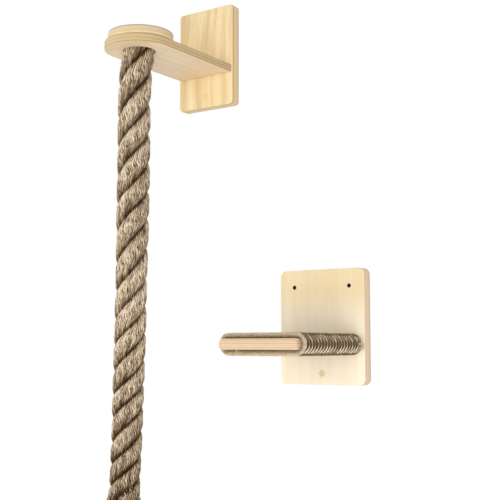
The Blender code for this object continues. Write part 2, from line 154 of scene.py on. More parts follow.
# The rope's bare end, where the strands loosen and their yarns end unevenly
fray_start_drop = 632 * MM
fray_uneven = 13 * MM
fray_yarn_height = 2.6 * MM
fray_wander = 1.8 * MM
fray_swell = 0.6 * MM
# Painted shade between the loosened yarns
fray_gap_shade = 0.3
fray_yarns = 90
fray_yarn_steps = 9
fray_yarn_sides = 5
fray_yarn_radius = 0.9 * MM
fray_yarn_sizes = (0.6, 1.1)
fray_yarn_shades = (0.0, 0.35)
fray_yarn_start_range = 24 * MM
fray_yarn_end_range = 14 * MM
fray_yarn_place = (0.55, 0.86)
fray_yarn_turn = 0.3
fray_yarn_jitter = 0.35 * MM
fray_spread = 6.5 * MM
fray_spread_shares = (-0.2, 1.0)
fray_spread_power = 1.5
fray_spread_all = 1.5 * MM

# Winding on the step, from part.py
wrap_cord_diameter = 7.2 * MM
wrap_shown_diameter = 7.4 * MM
wrap_least_gap = 0.45 * MM
wrap_clearance = 0.5 * MM
wrap_plate_gap = 0.6 * MM
wrap_tuck_bend = 6 * MM
wrap_tuck_steps = 8
wrap_path_step = 1.0 * MM
wrap_start_side_share = -0.25
wrap_end_side_share = 0.21
board_long_edge_radius = 6 * MM
board_bare_nose = 5 * MM
wrap_lay = 43.73 * MM
wrap_ring_step = 2.1 * MM
wrap_side_slack = 0.1 * MM
wrap_strands = 3
wrap_sides_per_strand = 8
wrap_groove_depth_share = 0.08
wrap_groove_power = 1.6
wrap_phase_wander = 0.5
wrap_phase_rows = 40
wrap_size_wander = 0.035
wrap_size_rows = 14
wrap_patch_rows = 6
wall_hole_side = 45.5 * MM
wall_hole_up = 58 * MM
wall_hole_radius = 2.75 * MM

# Painted highlights as pale strokes, and painted shade in the gaps, on the winding,
# in degrees round the cord from where it faces outwards.
# Tilt is 0 halfway up the board's side and 1 on its top and underside.
flat_tilt = 0.93
flat_fade = 0.05
# Painted highlight: where the pale stroke lies round the cord and how wide it is
highlight_place = -6
highlight_place_by_tilt = 62
highlight_half_width = 20
highlight_half_width_flat = 8
highlight_edge = 5
# Painted shade in the gaps between turns
gap_start = 12
gap_fade = 10
# The painted highlight stops on the winding's underside
underside_start = -0.88
underside_fade = 0.10
mid_height_tilt = 0.22
mid_height_fading = 0.45
last_turn_start = 20.5
last_turn_fade = 0.3
last_turn_fading = 0.7
flat_fading = 0.4
patch_middle = 0.9
patch_strength = 0.6
cord_shade = 0.35
cord_shade_flat = 0.15
gap_shade = 0.58
# Painted shade along the winding's top corner
corner_up = 0.88
corner_width = 0.10
corner_fade = 0.04
corner_shade = 0.75
# Open side of the first turn: painted shade towards the board and a painted highlight on its outer side
open_turn_end = 1.15
open_turn_fade = 0.1
open_side_gain = 3
open_side_shade = 0.08
open_side_by_crest = 0.62
open_side_limits = (-0.36, 0.60)

# Loose fibres
fibre_radius = 0.10 * MM
fibre_steps = 4
fibre_sides = 3
fibre_tip_share = 0.35
rope_fibres = 3200
rope_fibre_length = (5 * MM, 17 * MM)
rope_fibre_turn = 0.28
rope_fibre_sizes = (0.7, 1.5)
rope_fibre_lift_mm = (0.2, 2.4)
rope_fibre_lift_power = 1.4
rope_fibre_sink = 0.6 * MM
rope_fibre_clear_top = 18 * MM
rope_fibre_clear_end = 20 * MM
rope_fibre_least_drop = 14 * MM
rope_groove_depth_share = 0.26
rope_groove_power = 2.6
wrap_fibres = 700
wrap_fibre_clear_rings = (12, 20)
wrap_fibre_rings = (3, 8)
wrap_fibre_sizes = (0.7, 1.4)
wrap_fibre_lift_mm = (0.1, 1.3)
wrap_fibre_lift_power = 1.5
wrap_fibre_slide_mm = (-2.5, 2.5)
wrap_fibre_lean = 0.35
wrap_fibre_sink = 0.2 * MM

# The tuft beside the step's wall plate: its middle from the board's edge, back and mid height
tuft_loops = 20
tuft_loop_steps = 9
tuft_radius = 0.55 * MM
tuft_sizes = (0.7, 1.2)
tuft_shades = (-1.0, -0.6)
tuft_sides = 5
tuft_out = 5.5 * MM
tuft_forward = 9 * MM
tuft_down = 2.5 * MM
tuft_spread = (0.8, 6.0, 5.5)
tuft_way = (1.0, -0.2, 0.0)
tuft_reach = (2.0, 4.5)
tuft_width = (1.0, 2.6)
tuft_tilt = 1.2

# Veneer grain: noise, stretch along the grain, the values between which it turns dark, and what
# it adds to the dark tone. A noise is its scale per metre, detail, roughness and distortion.
wide_grain = ((34.0, 2.0, 0.5), 0.12, (0.34, 0.68), 0.42)
streak_grain = ((120.0, 3.0, 0.6), 0.06, (0.38, 0.68), 0.44)
fine_grain = ((900.0, 3.0, 0.7), 0.022, (0.45, 0.80), 0.16)
ring_wave = {"Scale": 19.0, "Distortion": 3.2, "Detail": 2.0, "Detail Scale": 1.4}
ring_stretch = 0.07
ring_power = 5.0
ring_adds = 0.22
sway_noise = (8.0, 2.0)
grain_sway = 0.026
grain_depth_stretch = 0.35
streak_relief = 0.4
fine_relief = 0.6

# Ply edges: end grain, wobble of the glue lines, and how colour bands and lines fade
end_grain_noise = (700.0, 4.0, 0.7)
end_grain_stretch = 0.10
end_grain_range = (0.35, 0.75)
end_grain_adds = 0.32
wobble_noise = (30.0, 2.0)
wobble_seed_shift = 3.0
ply_wobble = 0.03
band_fade = 0.04
line_fade = (1.5, 0.5)
line_relief = -0.8
face_tilt_range = (0.62, 0.74)
bore_rim_share = 1.25
wood_bump = 0.12 * MM
wood_bump_strength = 0.5
wood_rough = (0.12, 0.50)
sharp_edge_angle = math.radians(35)
merge_distance = 0.001 * MM

# Plugs, dowels and screws
small_wood_stretch = 0.1
small_rings = ((420.0, 4.0, 0.6, 0.8), (0.3, 0.75))
small_pores = ((1900.0, 2.0, 0.6), (0.4, 0.75))
small_pores_add = 0.35
small_wood_bump = 0.1 * MM
steel_patches_noise = (260.0, 3.0, 0.6)
steel_patches_range = (0.35, 0.7)
steel_marks_noise = (2600.0, 2.0, 0.6)
steel_rough = (0.25, 0.24)
steel_bump = 0.03 * MM
steel_bump_strength = 0.4

# Dark glue lines on the ply edges, some widened into painted shade where parts meet:
# place in shares of the thickness, strength and half width in mm
upper_plate_lines = ((0.14, 0.85, 0.8), (0.36, 0.35, 0.5), (0.62, 0.15, 0.5))
upper_plate_lines += ((0.80, 0.30, 0.5), (0.99, 0.45, 0.6))
# The arm's top line is the joint under the cap, widened with painted shade
arm_lines = ((0.07, 0.75, 0.6), (0.44, 0.62, 0.4), (0.97, 0.50, 0.8))
# The cap's bottom line is the joint on the arm, widened with painted shade; its top line is a dark line along
# the rim
cap_lines = ((0.02, 0.62, 1.5), (0.38, 0.15, 0.4), (0.56, 0.20, 0.4), (0.95, 0.62, 1.0))
step_plate_lines = ((0.22, 0.2, 0.5), (0.50, 0.22, 0.5), (0.80, 0.35, 0.5), (0.99, 0.5, 0.6))
board_lines = ((0.07, 0.50, 0.4), (0.24, 0.42, 0.35), (0.42, 0.24, 0.3))
board_lines += ((0.57, 0.40, 0.4), (0.74, 0.30, 0.3), (0.90, 0.62, 0.4))

# Plant fibre: how its noises turn into flecks, pale and dark spots and hairs
fleck_noise = (2.0, 0.5)
fleck_range = (0.42, 0.58)
spot_noise = (2.0, 0.5, 0.6)
spot_scale_share = 1.9
pale_spot_range = (0.53, 0.63)
dark_spot_range = (0.47, 0.38)
hair_noise = (2400.0, 2.0, 0.6)
hair_stretch = 0.10
hair_range = (0.52, 0.72)
hair_share = 0.35
hair_relief = 0.4
# How far painted shade darkens the fibre at most
deepest_shade = 0.96
fibre_bump = 0.8 * MM
fibre_bump_strength = 0.9

# Starts of the random draws
rope_seed = 11
rope_fuzz_seed = 23
wrap_seed = 5
wrap_fuzz_seed = 31

# Colours, linear. Wood tones are light, dark and how strongly the grain shows, and fibre tones
# are pale, light, middle and dark.
birch_tones = ((0.95, 0.775, 0.47), (0.75, 0.54, 0.26), 1.0)
birch_edge = (0.89, 0.66, 0.355)
birch_edge_low = (0.76, 0.58, 0.38)
cap_edge = (0.76, 0.58, 0.32)
cap_pink = (0.755, 0.595, 0.405)
cap_cream = (0.92, 0.77, 0.48)
pale_light = (0.985, 0.88, 0.685)
pale_tones = (pale_light, (0.88, 0.70, 0.42), 0.42)
pale_edge = (0.92, 0.69, 0.48)
pale_edge_low = (0.80, 0.62, 0.44)
arm_tones = ((0.95, 0.765, 0.53), (0.77, 0.58, 0.38), 0.8)
arm_edge = (0.635, 0.47, 0.235)
board_tones = (pale_light, (0.60, 0.40, 0.24), 0.62)
board_edge = (0.71, 0.525, 0.345)
# Dark glue lines, also used as painted shade where parts meet
glue_and_shade_brown = (0.27, 0.14, 0.04)
# Painted shade inside open screw holes
hole_shade_brown = (0.045, 0.028, 0.015)
jute_tones = ((0.93, 0.83, 0.67), (0.82, 0.63, 0.42), (0.36, 0.24, 0.13), (0.058, 0.029, 0.008))
sisal_tones = ((0.97, 0.88, 0.68), (0.50, 0.395, 0.27), (0.32, 0.20, 0.09), (0.085, 0.045, 0.012))
plug_tones = ((0.90, 0.74, 0.42), (0.72, 0.54, 0.26))
dowel_tones = ((0.76, 0.56, 0.34), (0.60, 0.41, 0.22))
zinc_tones = ((0.66, 0.66, 0.64), (0.50, 0.50, 0.48))


class Graph:
    """Adds shader nodes to one material, wiring values or other nodes' outputs into their sockets."""

    def __init__(self, name):
        self.material = bpy.data.materials.new(name)
        self.material.use_nodes = True
        self.tree = self.material.node_tree
        self.shader = self.tree.nodes["Principled BSDF"]

    def feed(self, socket, value):
        if isinstance(value, bpy.types.NodeSocket):
            self.tree.links.new(value, socket)
        elif isinstance(value, tuple) and len(value) == 3 and socket.type == "RGBA":
            socket.default_value = (*value, 1.0)
        else:
            socket.default_value = value

    def add(self, kind, inputs=None, **settings):
        made = self.tree.nodes.new(kind)
        for key, value in settings.items():
            setattr(made, key, value)
        for key, value in (inputs or {}).items():
            self.feed(made.inputs[key], value)
        return made

    def math(self, operation, first, second=0.0, third=0.0, clamp=False):
        inputs = {0: first, 1: second, 2: third}
        return self.add("ShaderNodeMath", inputs, operation=operation, use_clamp=clamp).outputs[0]

    def times(self, first, second, clamp=False):
        return self.math("MULTIPLY", first, second, clamp=clamp)

    def times_plus(self, first, second, third, clamp=False):
        return self.math("MULTIPLY_ADD", first, second, third, clamp)

    def mix(self, factor, first, second):
        return self.add("ShaderNodeMix", {0: factor, 6: first, 7: second}, data_type="RGBA").outputs[2]

    def step(self, value, low, high):
        """0 below low, 1 above high, smooth between."""
        inputs = {"Value": value, "From Min": low, "From Max": high}
        return self.add("ShaderNodeMapRange", inputs, interpolation_type="SMOOTHSTEP").outputs["Result"]

    def axes(self):
        place = self.add("ShaderNodeTexCoord").outputs["Object"]
        apart = self.add("ShaderNodeSeparateXYZ", {0: place})
        return dict(zip("XYZ", apart.outputs))

    def point(self, x, y, z):
        return self.add("ShaderNodeCombineXYZ", {0: x, 1: y, 2: z}).outputs[0]

    def noise(self, where, scale, detail, rough=0.55, distortion=0.0):
        inputs = {"Vector": where, "Scale": scale, "Detail": detail, "Roughness": rough}
        inputs["Distortion"] = distortion
        return self.add("ShaderNodeTexNoise", inputs).outputs["Fac"]

    def bump(self, height, distance, strength):
        inputs = {"Height": height, "Distance": distance, "Strength": strength}
        return self.add("ShaderNodeBump", inputs).outputs["Normal"]

    def finish(self, **sockets):
        for name, value in sockets.items():
            self.feed(self.shader.inputs[name.replace("_", " ")], value)
        return self.material


def veneer_grain(graph, swayed, across, along, depth):
    """How dark the veneer's grain makes it, and the streaks and the fine grain on their own."""

    def drawn_out(place, stretch):
        """Where a pattern that is drawn out along the grain is looked up."""
        return graph.point(place, graph.times(along, stretch), depth)

    def with_grain(tone, noise, limits, adds):
        return graph.times_plus(graph.step(noise, *limits), adds, tone)

    grains = (wide_grain, streak_grain, fine_grain)
    wide, streaks, fine = (
        graph.noise(drawn_out(place, stretch), *noise)
        for place, (noise, stretch, *_) in zip((swayed, swayed, across), grains)
    )
    wave = {"Vector": drawn_out(swayed, ring_stretch), **ring_wave}
    rings = graph.add("ShaderNodeTexWave", wave, wave_profile="SAW").outputs["Fac"]
    tone = with_grain(0.0, wide, *wide_grain[2:])
    tone = with_grain(tone, streaks, *streak_grain[2:])
    tone = graph.times_plus(graph.math("POWER", rings, ring_power), ring_adds, tone)
    return with_grain(tone, fine, *fine_grain[2:]), streaks, fine


def ply_edges(graph, axes, through, share, thickness, edge, dark, bands, lines):
    """Colour and relief of the stacked plies at a share of the thickness, with their dark glue lines, some
    widened into painted shade where parts meet.
    """
    fibres = []
    for letter in "XYZ":
        stretch = 1.0 if letter == through else end_grain_stretch
        fibres.append(graph.times(axes[letter], stretch))
    end_grain = graph.noise(graph.point(*fibres), *end_grain_noise)
    plies = edge
    for start, end, colour in bands:
        past_start = graph.step(share, start, start + band_fade)
        before_end = graph.step(share, end, end - band_fade)
        plies = graph.mix(graph.times(past_start, before_end), plies, colour)
    darker = graph.times(graph.step(end_grain, *end_grain_range), end_grain_adds)
    plies = graph.mix(darker, plies, dark)
    glue_and_shade = 0.0
    for line, strength, half_width in lines:
        away = graph.math("ABSOLUTE", graph.math("SUBTRACT", share, line))
        reach = half_width * MM / thickness
        near = graph.step(away, reach * line_fade[0], reach * line_fade[1])
        glue_and_shade = graph.math("MAXIMUM", glue_and_shade, graph.times(near, strength))
    relief = graph.times_plus(glue_and_shade, line_relief, end_grain)
    return graph.mix(glue_and_shade, plies, glue_and_shade_brown), relief


def plywood(node, name, through, along, tones, edge, seed, bands=(), lines=(), bores=(), sap_and_shade=()):
    """Veneer grain on the two faces across the axis through, and stacked plies on every other side.

    tones is (light, dark, strength of the grain), and bores are the spots of open screw holes, whose walls
    get painted shade.
    bands are (start, end, colour) and lines (place, strength, half width in mm), placed in shares of
    the thickness. sap_and_shade is (axis, start, full, strength): veneer that darkens from start to full, in
    metres, used for sapwood and for painted shade.
    """
    light, dark, figure = tones
    low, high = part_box(node)
    axis = "XYZ".index(through)
    across = ({"X", "Y", "Z"} - {through, along}).pop()
    graph = Graph(name)
    axes = graph.axes()
    length, width = axes[along], axes[across]
    warp = graph.noise(graph.point(length, width, seed), *sway_noise)
    swayed = graph.times_plus(warp, grain_sway, width)
    depth = graph.times_plus(axes[through], grain_depth_stretch, seed)
    tone, streaks, fine = veneer_grain(graph, swayed, width, length, depth)
    tone = graph.times(tone, figure, clamp=True)
    # Veneer darker from start to full, for sapwood and for painted shade
    for dark_axis, start, full, strength in sap_and_shade:
        place = swayed if dark_axis == across else axes[dark_axis]
        strip = graph.times(graph.step(place, start, full), strength)
        tone = graph.math("ADD", tone, strip, clamp=True)
    veneer = graph.mix(tone, light, dark)
    thickness = high[axis] - low[axis]
    share = graph.times_plus(axes[through], 1 / thickness, -low[axis] / thickness)
    wobble_at = graph.point(length, width, seed + wobble_seed_shift)
    share = graph.times_plus(graph.noise(wobble_at, *wobble_noise), ply_wobble, share)
    plies, ply_relief = ply_edges(graph, axes, through, share, thickness, edge, dark, bands, lines)
    facing = graph.add("ShaderNodeNewGeometry").outputs["True Normal"]
    parts = graph.add("ShaderNodeSeparateXYZ", {0: facing}).outputs
    on_face = graph.step(graph.math("ABSOLUTE", parts[axis]), *face_tilt_range)
    colour = graph.mix(on_face, plies, veneer)
    # Painted shade on the walls of open screw holes
    for spot in bores:
        aside = graph.math("SUBTRACT", length, spot[along])
        beside = graph.math("SUBTRACT", width, spot[across])
        squares = graph.times_plus(aside, aside, graph.times(beside, beside))
        reached = graph.step(squares, wall_hole_radius**2, (wall_hole_radius * bore_rim_share) ** 2)
        colour = graph.mix(graph.math("SUBTRACT", 1.0, reached), colour, hole_shade_brown)
    relief = graph.times_plus(streaks, streak_relief, graph.times(fine, fine_relief))
    height = graph.times(relief, on_face)
    height = graph.times_plus(ply_relief, graph.math("SUBTRACT", 1.0, on_face), height)
    rough = graph.times_plus(tone, *wood_rough)
    normal = graph.bump(height, wood_bump, wood_bump_strength)
    return graph.finish(Base_Color=colour, Roughness=rough, Normal=normal)


def small_wood(name, light, dark, seed):
    """End grain or turned grain of a plug or dowel."""
    graph = Graph(name)
    axes = graph.axes()
    depth = graph.times(axes["Y"], small_wood_stretch)
    where = graph.point(axes["X"], depth, graph.math("ADD", axes["Z"], seed))
    rings = graph.noise(where, *small_rings[0])
    pores = graph.noise(where, *small_pores[0])
    tone = graph.step(rings, *small_rings[1])
    tone = graph.times_plus(graph.step(pores, *small_pores[1]), small_pores_add, tone, clamp=True)
    normal = graph.bump(graph.math("ADD", rings, pores), small_wood_bump, wood_bump_strength)
    return graph.finish(Base_Color=graph.mix(tone, light, dark), Roughness=0.6, Normal=normal)


def screw_steel():
    """Zinc-plated steel with fine turning marks and dulled patches."""
    graph = Graph("zinc_steel")
    axes = graph.axes()
    where = graph.point(axes["X"], axes["Y"], axes["Z"])
    patches = graph.noise(where, *steel_patches_noise)
    marks = graph.noise(where, *steel_marks_noise)
    colour = graph.mix(graph.step(patches, *steel_patches_range), *zinc_tones)
    rough = graph.times_plus(patches, *steel_rough)
    normal = graph.bump(marks, steel_bump, steel_bump_strength)
    return graph.finish(Base_Color=colour, Metallic=1.0, Roughness=rough, Normal=normal)


def fibre_material(name, tones, fleck_scale, fleck_stretch, fleck_share):
    """Hairy plant fibre. The mesh's fibre attribute runs round each yarn in X and Y and along it in Z.

    Its shade attribute is painted shade and painted highlight: at 1 the colour turns to the dark tone, at -1
    to the pale tone.
    """
    pale, light, mid, dark = tones
    graph = Graph(name)
    fibre = graph.add("ShaderNodeAttribute", attribute_name="fibre").outputs["Vector"]
    x, y, along = graph.add("ShaderNodeSeparateXYZ", {0: fibre}).outputs
    flecks_at = graph.point(x, y, graph.times(along, fleck_stretch))
    hairs_at = graph.point(x, y, graph.times(along, hair_stretch))
    flecks = graph.noise(flecks_at, fleck_scale, *fleck_noise)
    spots = graph.noise(flecks_at, fleck_scale * spot_scale_share, *spot_noise)
    hairs = graph.noise(hairs_at, *hair_noise)
    shade = graph.add("ShaderNodeAttribute", attribute_name="shade").outputs["Fac"]
    colour = graph.mix(graph.step(flecks, *fleck_range), mid, light)
    layers = (
        (spots, pale_spot_range, fleck_share, pale),
        (spots, dark_spot_range, fleck_share, dark),
        (hairs, hair_range, hair_share, mid),
    )
    for noise, limits, strength, tone in layers:
        colour = graph.mix(graph.times(graph.step(noise, *limits), strength), colour, tone)
    # Painted highlight where shade is below 0, painted shade where it is above 0
    colour = graph.mix(graph.times(shade, -1.0, clamp=True), colour, pale)
    colour = graph.mix(graph.times(shade, deepest_shade, clamp=True), colour, dark)
    height = graph.times_plus(hairs, hair_relief, graph.math("ADD", flecks, spots))
    normal = graph.bump(height, fibre_bump, fibre_bump_strength)
    return graph.finish(Base_Color=colour, Roughness=0.9, Specular_IOR_Level=0.2, Normal=normal)


def add_nodes(tree, kinds):
    """A new node of each kind in a list of words."""
    return [tree.nodes.new(kind) for kind in kinds.split()]


def smooth_shading(limit):
    """Node group that joins doubled points and shades smoothly across edges flatter than the limit."""
    group = bpy.data.node_groups.new("smooth_by_angle", "GeometryNodeTree")
    for way in ("INPUT", "OUTPUT"):
        group.interface.new_socket("Geometry", in_out=way, socket_type="NodeSocketGeometry")
    source, target = add_nodes(group, "NodeGroupInput NodeGroupOutput")
    merge, faces = add_nodes(group, "GeometryNodeMergeByDistance GeometryNodeSetShadeSmooth")
    angle, edges = add_nodes(group, "GeometryNodeInputMeshEdgeAngle GeometryNodeSetShadeSmooth")
    sharp = group.nodes.new("FunctionNodeCompare")
    merge.inputs["Distance"].default_value = merge_distance
    edges.domain = "EDGE"
    edges.inputs["Shade Smooth"].default_value = False
    sharp.operation = "GREATER_THAN"
    sharp.inputs["B"].default_value = limit
    link = group.links.new
    link(source.outputs[0], merge.inputs["Geometry"])
    link(merge.outputs["Geometry"], faces.inputs["Geometry"])
    link(faces.outputs["Geometry"], edges.inputs["Geometry"])
    link(angle.outputs["Unsigned Angle"], sharp.inputs["A"])
    link(sharp.outputs[0], edges.inputs["Selection"])
    link(edges.outputs["Geometry"], target.inputs[0])
    return group


def smooth_line(route, step):
    """Evenly spaced points of a smooth curve through the route's points."""
    points = [Vector(p) for p in route]
    ends = [2 * points[0] - points[1]] + points + [2 * points[-1] - points[-2]]
    dense = []
    fine_steps = 24
    for before, start, end, after in zip(ends, ends[1:], ends[2:], ends[3:]):
        for k in range(fine_steps):
            t = k / fine_steps
            bend = 2 * start + (end - before) * t
            bend += (2 * before - 5 * start + 4 * end - after) * t**2
            bend += (3 * start - before - 3 * end + after) * t**3
            dense.append(bend / 2)
    dense.append(points[-1])
    return resampled(np.array(dense), step)


def distances(line):
    """How far along the line each of its points lies."""
    return np.concatenate(([0.0], np.cumsum(np.linalg.norm(np.diff(line, axis=0), axis=1))))


def resampled(line, step):
    """The same line with its points spaced evenly, about a step apart."""
    lengths = distances(line)
    count = max(2, round(lengths[-1] / step)) + 1
    goals = np.linspace(0.0, lengths[-1], count)
    return np.stack([np.interp(goals, lengths, line[:, k]) for k in range(3)], axis=1)


def frames_along(line, first_side):
    """Distances along a line, and a side and an over direction at each point that never twist."""
    ahead = np.gradient(line, axis=0)
    ahead /= np.linalg.norm(ahead, axis=1, keepdims=True)
    sides = np.empty_like(line)
    side = np.array(first_side, float)
    for k, direction in enumerate(ahead):
        side = side - direction * side.dot(direction)
        side /= np.linalg.norm(side)
        sides[k] = side
    return distances(line), sides, np.cross(ahead, sides)


def radial(angle, side, over):
    """Directions at an angle from side, turned towards over."""
    return np.cos(angle)[..., None] * side + np.sin(angle)[..., None] * over


def fibre_places(radius, turns, gone, shift=0.0):
    """The fibre attribute's values: round each yarn in X and Y and along it in Z."""
    places = (radius * np.cos(turns) + shift, radius * np.sin(turns), gone[:, None])
    return np.stack(np.broadcast_arrays(*places), axis=-1)


def perpendicular(direction):
    other = (1.0, 0.0, 0.0) if abs(direction[0]) < abs(direction[2]) else (0.0, 0.0, 1.0)
    side = np.cross(direction, other)
    return side / np.linalg.norm(side)


def ramp(values, start, reach):
    """0 before start, 1 from start + reach on. A negative reach turns it round."""
    return np.clip((values - start) / reach, 0.0, 1.0)


def smooth_noise(rng, rows, columns, reach):
    """Random values from -1 to 1 that change slowly down the rows."""
    knots = rng.uniform(-1.0, 1.0, (rows // reach + 3, columns))
    at = np.arange(rows) / reach
    low = at.astype(int)
    share = (at - low)[:, None]
    share = share * share * (3 - 2 * share)
    return knots[low] * (1 - share) + knots[low + 1] * share


class Builder:
    """Collects tubes as arrays and makes them one mesh with fibre and shade attributes."""

    def __init__(self):
        self.spots, self.quads, self.fans = [], [], []
        self.fibre, self.shade = [], []
        self.count = 0

    def tube(self, rings, fibre, shade):
        """rings is (rows, sides, 3). Both ends are closed by a fan round their middle."""
        rows, sides, _ = rings.shape
        first = self.count
        index = first + np.arange(rows * sides).reshape(rows, sides)
        after = np.roll(index, -1, axis=1)
        quads = np.stack([index[:-1], after[:-1], after[1:], index[1:]], axis=-1)
        self.quads.append(quads.reshape(-1, 4))
        start, end = first + rows * sides, first + rows * sides + 1
        self.fans.append(np.stack([after[0], index[0], np.full(sides, start)], axis=-1))
        self.fans.append(np.stack([index[-1], after[-1], np.full(sides, end)], axis=-1))
        for kept, values in ((self.spots, rings), (self.fibre, fibre), (self.shade, shade[..., None])):
            kept.append(values.reshape(rows * sides, -1))
            kept.append(values[[0, -1]].mean(axis=1))
        self.count += rows * sides + 2

    def hair(self, line, radius, shade=0.0, sides=fibre_sides):
        """A thin tapered fibre along a few points."""
        _, side, over = frames_along(line, perpendicular(line[1] - line[0]))
        turns = 2 * np.pi * np.arange(sides) / sides
        radii = radius * np.linspace(1.0, fibre_tip_share, len(line))[:, None, None]
        rings = line[:, None] + radii * radial(turns, side[:, None], over[:, None])
        self.tube(rings, rings, np.full(rings.shape[:2], shade))

    def object(self, name, material):
        mesh = bpy.data.meshes.new(name)
        faces = np.concatenate(self.quads).tolist() + np.concatenate(self.fans).tolist()
        mesh.from_pydata(np.concatenate(self.spots), [], faces)
        mesh.validate()
        fibre = mesh.attributes.new("fibre", "FLOAT_VECTOR", "POINT")
        fibre.data.foreach_set("vector", np.concatenate(self.fibre).astype(np.float32).reshape(-1))
        shade = mesh.attributes.new("shade", "FLOAT", "POINT")
        shade.data.foreach_set("value", np.concatenate(self.shade).astype(np.float32).reshape(-1))
        mesh.shade_smooth()
        mesh.materials.append(material)
        made = bpy.data.objects.new(name, mesh)
        bpy.context.collection.objects.link(made)
        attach(made, BODY)
        return made


class Rope:
    """The rope's centreline, and where a strand or a fibre lies round it at each distance down it."""

    def __init__(self, top):
        self.route = [top + Vector(p) for p in rope_route]
        self.line = smooth_line(self.route, rope_ring_step)
        self.gone, self.sides, self.overs = frames_along(self.line, (1.0, 0.0, 0.0))
        marks = np.array(groove_drops) * MM
        turns = groove_front - math.pi / strand_count + 2 * math.pi / strand_count * np.arange(len(marks))
        self.fine = np.linspace(marks[0], marks[-1], groove_samples)
        reach = int(groove_smoothing / (self.fine[1] - self.fine[0]))
        window = np.hanning(2 * reach + 1)
        rough = np.interp(self.fine, marks, turns)
        before = rough[0] - (rough[1] - rough[0]) * np.arange(reach, 0, -1)
        after = rough[-1] + (rough[-1] - rough[-2]) * np.arange(1, reach + 1)
        padded = np.concatenate([before, rough, after])
        self.turns = np.convolve(padded, window / window.sum(), mode="valid")

    def turn(self, drops):
        """How far the strands have turned round the rope."""
        return np.interp(drops, self.fine, self.turns)

    def girth(self, drops):
        return np.interp(drops, girth_drops, girth_shares)

    def at(self, drops, away, angle):
        """Points at a distance from the rope's axis and an angle round it."""
        middle, side, over = (
            np.stack([np.interp(drops, self.gone, table[:, k]) for k in range(3)], axis=-1)
            for table in (self.line, self.sides, self.overs)
        )
        return middle + away[..., None] * radial(angle, side, over)


def strand_section(theta, orbit, radius, half_width):
    """A strand's outline, pressed flat against its neighbours: (distance from the rope's axis, angle)."""
    rise, reach = (np.sign(part) * np.abs(part) ** strand_fullness for part in (np.cos(theta), np.sin(theta)))
    outward = orbit + radius * rise
    sideways = half_width * reach
    away = np.hypot(outward, sideways)
    angle = np.arctan2(sideways, outward)
    knee = strand_wedge * wedge_knee_share
    room = strand_wedge - knee
    over = np.maximum(np.abs(angle) - knee, 0.0)
    pressed = np.minimum(np.abs(angle), knee) + room * (1 - np.exp(-over / room))
    return away, np.sign(angle) * pressed


def rope_shade(rng, gone, away, angle, shown, profile, loose, wander):
    """Painted shade in the grooves, under each strand and between yarns, and a painted highlight along each
    strand.
    """
    across = angle / strand_wedge
    # Painted shade in the grooves and under each strand
    groove = ramp(away, shown * groove_shade_start, -shown * groove_shade_reach)
    below = ramp(-across, under_shade_start, under_shade_reach) ** under_shade_power * under_shade
    # Painted highlight along each strand
    lit = np.exp(-(((across - painted_highlight_place) / painted_highlight_width) ** 2)) * painted_highlight
    # Painted shade between yarns
    valley = (1 - profile) * (yarn_gap_shade + fray_gap_shade * loose)
    dark = 1 - (1 - groove) * (1 - below) * (1 - valley)
    yarn_tones = np.repeat(rng.uniform(-1.0, 1.0, yarns_per_strand), len(yarn_profile))
    tone = yarn_tone * (wander + yarn_tones) + np.interp(gone, tone_drops, tone_shades)[:, None]
    return dark - lit * (1 - dark) + tone


def make_rope(rope, material):
    """Three laid strands whose mesh lines follow their yarns and end unevenly."""
    rng = np.random.default_rng(rope_seed)
    gone = rope.gone
    rows = len(gone)
    turn = rope.turn(gone)
    girth = rope.girth(gone)[:, None]
    loose_length = rope_length - fray_start_drop
    past = np.clip(gone - fray_start_drop, 0.0, loose_length)[:, None]
    loose = past / loose_length
    per_yarn = len(yarn_profile)
    count = yarns_per_strand * per_yarn
    profile = np.tile(yarn_profile, yarns_per_strand)
    fixed = 2 * np.pi * np.arange(count) / count
    outer = strand_orbit + strand_radius
    yarn_turn = -(turn - turn[0]) * yarn_turn_share * outer / strand_half_width
    theta = fixed + yarn_turn[:, None]
    builder = Builder()
    for number in range(strand_count):
        phase = turn + 2 * np.pi * number / strand_count
        wander, uneven = (
            np.repeat(smooth_noise(rng, rows, yarns_per_strand, reach), per_yarn, axis=1)
            for reach in (yarn_wander_rows, yarn_unevenness_rows)
        )
        relief = yarn_height + (fray_yarn_height - yarn_height) * loose
        height = relief * (profile - yarn_profile_middle) + yarn_wander * wander + yarn_unevenness * uneven
        height = height + (fray_wander * wander + fray_swell) * loose
        radius = strand_radius * girth + height
        half_width = strand_half_width * girth + height
        away, angle = strand_section(theta, strand_orbit * girth, radius, half_width)
        ends = np.repeat(rng.uniform(0.0, fray_uneven, yarns_per_strand) / loose_length, per_yarn)
        drops = gone[:, None] - past * ends
        rings = rope.at(drops, away, phase[:, None] + angle)
        fibre = fibre_places(strand_radius, fixed, gone, number)
        shown = rope_diameter / 2 * girth
        builder.tube(rings, fibre, rope_shade(rng, gone, away, angle, shown, profile, loose, wander))
    add_frayed_yarns(builder, rope, rng)
    return builder.object("climbing_rope_strands", material)


def add_frayed_yarns(builder, rope, rng):
    """Yarns that leave the strands near the rope's bare end, spread out and end raggedly."""
    steps = fray_yarn_steps
    for number in range(fray_yarns):
        start = rng.uniform(fray_start_drop, fray_start_drop + fray_yarn_start_range)
        end = rope_length - rng.uniform(0.0, fray_yarn_end_range)
        drops = np.linspace(start, end, steps)
        loose = np.linspace(0.0, 1.0, steps)
        angle = 2 * np.pi * number / fray_yarns + rng.uniform(-fray_yarn_turn, fray_yarn_turn) * loose
        inner = rope_diameter / 2 * rng.uniform(*fray_yarn_place) * rope.girth(drops[:1])
        spread = fray_spread * rng.uniform(*fray_spread_shares)
        away = inner + spread * loose**fray_spread_power + fray_spread_all * loose
        path = rope.at(drops, away, angle)
        path[1:] += rng.normal(0.0, fray_yarn_jitter, (steps - 1, 3)) * loose[1:, None]
        radius = fray_yarn_radius * rng.uniform(*fray_yarn_sizes)
        builder.hair(path, radius, rng.uniform(*fray_yarn_shades), fray_yarn_sides)


